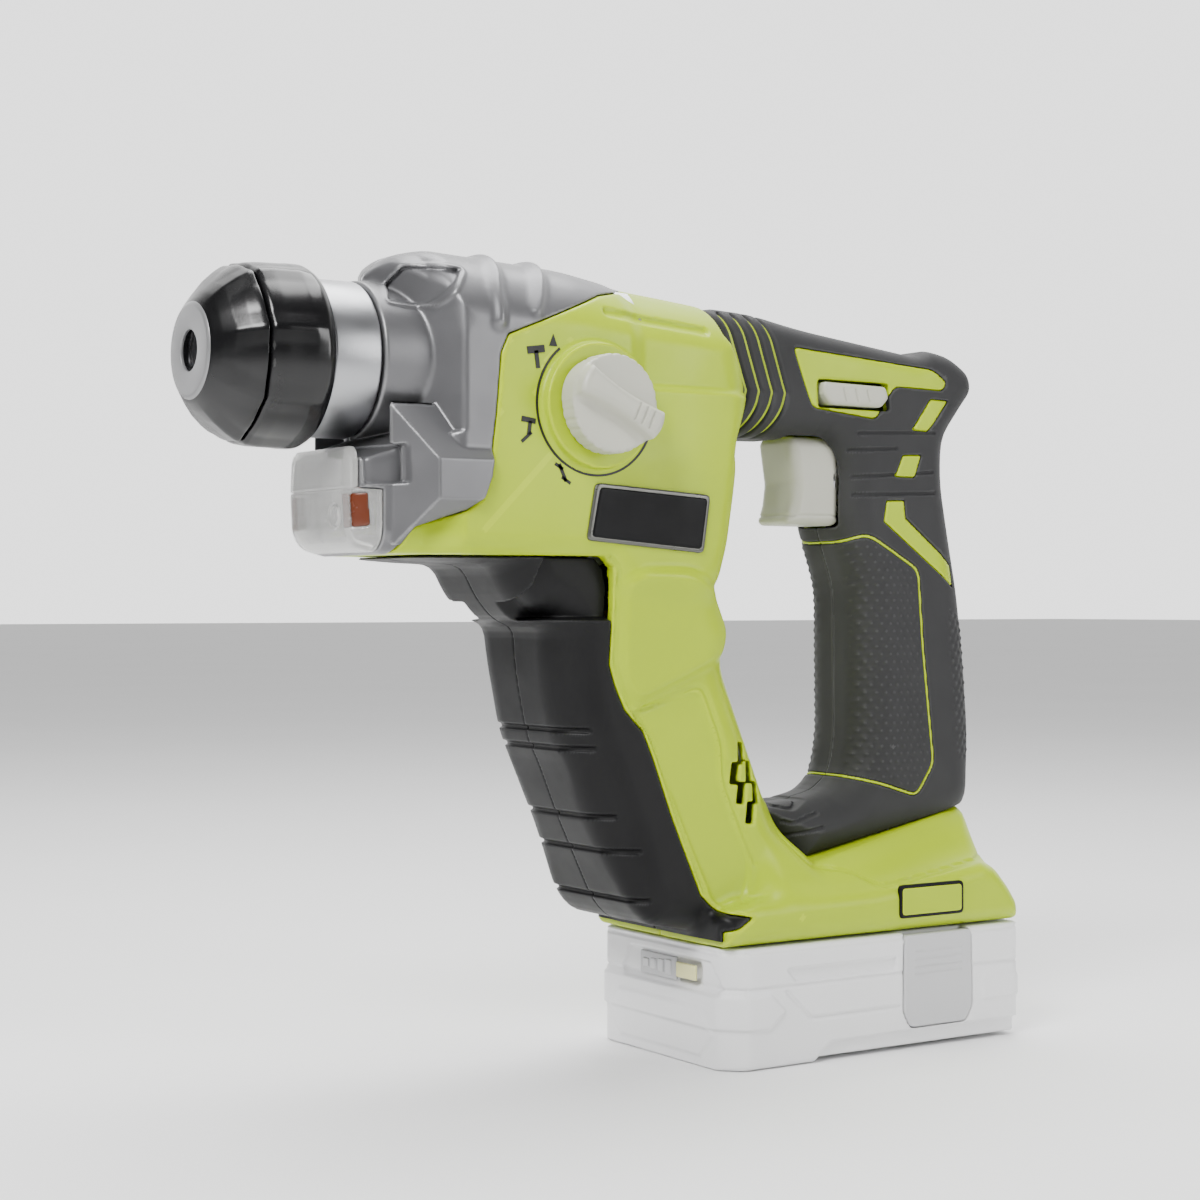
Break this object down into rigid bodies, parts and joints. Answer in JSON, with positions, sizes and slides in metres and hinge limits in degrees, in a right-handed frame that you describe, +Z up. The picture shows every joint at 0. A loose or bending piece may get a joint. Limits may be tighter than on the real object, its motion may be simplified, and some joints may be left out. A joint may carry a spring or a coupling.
{
  "type": "rotary hammer",
  "caption": "Cordless rotary hammer with an inclined motor, D-handle, locking chuck, mode dial, trigger and a clip-in stem battery.",
  "frame": {"origin": "middle of the battery pack's flat underside, on the tool's mid-plane", "axes": "-X towards the chuck along the spindle, +Z up, +Y to the tool's right-hand side"},
  "size_m": [0.2833, 0.0878, 0.2485],
  "materials": {
    "lime_plastic": "fine satin moulding",
    "grey_rubber": "matt overmould",
    "black_rubber": "matt overmould with a grey sheen",
    "case_paint": "satin silver-grey paint on a light alloy casting",
    "aluminium": "turned",
    "steel": "ground",
    "bronze": "sintered bronze and copper",
    "chuck_black": "glossy black",
    "nose_grey": "satin grey dust cap",
    "black_plastic": "matt black",
    "off_white": "smooth off-white",
    "lens": "clear",
    "badge_black": "glossy black, blank",
    "pack_light": "pale grey moulding",
    "pack_grey": "light grey moulding",
    "cell_wrap": "blue shrink wrap over metal cans",
    "button_yellow": "pale yellow"
  },
  "bodies": {
    "tool": {"housing_left": "lime_plastic", "housing_right": "lime_plastic", "handle_grip_left": "grey_rubber", "handle_grip_right": "grey_rubber", "column_grip_left": "black_rubber", "column_grip_right": "black_rubber", "gear_case": "case_paint", "front_collar": "aluminium", "barrel_seal_ring": "black_rubber", "front_bearing": "steel", "gear_plate": "aluminium", "spindle_rear_bush": "bronze", "countershaft_front_bearing": "steel", "countershaft_rear_bearing": "steel", "bearing_bridge": "aluminium", "housing_screws": "steel", "motor_can": "steel", "magnets": "steel", "motor_plate": "aluminium", "motor_end_cap": "black_plastic", "motor_bearings": "steel", "carbon_brushes": "black_plastic", "switch_module": "black_plastic", "trigger_spring": "steel", "work_light_lens": "lens", "terminal_block": "black_plastic", "badges": "badge_black", "base_plates": "badge_black"},
    "spindle": {"spindle": "steel", "spindle_gear": "steel", "locking_balls": "steel", "spring_seat": "steel", "chuck_spring": "steel", "nose_cap": "nose_grey"},
    "chuck_sleeve": {"chuck_sleeve": "chuck_black"},
    "beat_piece": {"beat_piece": "steel"},
    "striker": {"striker": "steel"},
    "piston": {"piston": "aluminium"},
    "wobble": {"wobble_ring": "steel"},
    "countershaft": {"countershaft": "steel", "drive_pinion": "steel", "wobble_hub": "steel", "bevel_gear": "steel"},
    "rotor": {"motor_shaft": "steel", "motor_pinion": "steel", "armature": "steel", "armature_windings": "bronze", "commutator": "bronze", "cooling_fan": "black_plastic"},
    "trigger": {"trigger": "off_white"},
    "selector": {"direction_selector": "off_white"},
    "mode_dial": {"mode_dial": "off_white"},
    "battery": {"battery_lower_case": "pack_light", "battery_upper_case": "pack_grey", "battery_cells": "cell_wrap", "gauge_panel": "pack_light"},
    "latch_left": {"battery_latch_left": "pack_grey"},
    "latch_right": {"battery_latch_right": "pack_grey"},
    "charge_button": {"charge_button": "button_yellow"}
  },
  "joints": [
    {"name": "spindle_spin", "type": "hinge", "parent": "tool", "child": "spindle", "pos_m": [-0.171, 0, 0.2155], "axis": [1, 0, 0], "continuous": true},
    {"name": "sleeve_slide", "type": "slide", "parent": "spindle", "child": "chuck_sleeve", "axis": [1, 0, 0], "range_m": [0, 0.006], "stiffness_N_per_m": 1500, "springref_m": -0.006, "deforming": ["chuck_spring"]},
    {"name": "beat_piece_slide", "type": "slide", "parent": "spindle", "child": "beat_piece", "axis": [1, 0, 0], "range_m": [-0.003, 0]},
    {"name": "striker_slide", "type": "slide", "parent": "spindle", "child": "striker", "axis": [1, 0, 0], "range_m": [-0.0045, 0.003]},
    {"name": "wobble_swing", "type": "hinge", "parent": "tool", "child": "wobble", "pos_m": [-0.121, 0, 0.18], "axis": [0, 1, 0], "range_deg": [-9, 9]},
    {"name": "piston_slide", "type": "slide", "parent": "tool", "child": "piston", "axis": [1, 0, 0], "range_m": [-0.0056, 0.0056]},
    {"name": "countershaft_spin", "type": "hinge", "parent": "tool", "child": "countershaft", "pos_m": [-0.121, 0, 0.18], "axis": [1, 0, 0], "continuous": true},
    {"name": "rotor_spin", "type": "hinge", "parent": "tool", "child": "rotor", "pos_m": [-0.109, 0, 0.18], "axis": [-0.4067, 0, 0.9135], "continuous": true},
    {"name": "trigger_pull", "type": "slide", "parent": "tool", "child": "trigger", "axis": [1, 0, 0], "range_m": [0, 0.006], "stiffness_N_per_m": 900, "springref_m": -0.006, "deforming": ["trigger_spring"]},
    {"name": "selector_slide", "type": "slide", "parent": "tool", "child": "selector", "axis": [0, 1, 0], "range_m": [-0.003, 0.003]},
    {"name": "mode_dial_turn", "type": "hinge", "parent": "tool", "child": "mode_dial", "pos_m": [-0.107, -0.036, 0.203], "axis": [0, 1, 0], "range_deg": [-60, 120]},
    {"name": "battery_slide", "type": "slide", "parent": "tool", "child": "battery", "axis": [0, 0, -1], "range_m": [0, 0.045]},
    {"name": "latch_left_press", "type": "slide", "parent": "battery", "child": "latch_left", "axis": [0, 1, 0], "range_m": [0, 0.002], "stiffness_N_per_m": 1500, "springref_m": -0.003},
    {"name": "latch_right_press", "type": "slide", "parent": "battery", "child": "latch_right", "axis": [0, -1, 0], "range_m": [0, 0.002], "stiffness_N_per_m": 1500, "springref_m": -0.003},
    {"name": "charge_button_press", "type": "slide", "parent": "battery", "child": "charge_button", "axis": [1, 0, 0], "range_m": [0, 0.001], "stiffness_N_per_m": 800, "springref_m": -0.003}
  ],
  "couplings": [
    {"joint": "countershaft_spin", "follows": "spindle_spin", "ratio": -2.381},
    {"joint": "rotor_spin", "follows": "spindle_spin", "ratio": -7.1429},
    {"joint": "piston_slide", "follows": "wobble_swing", "m_per_rad": 0.0355}
  ]
}
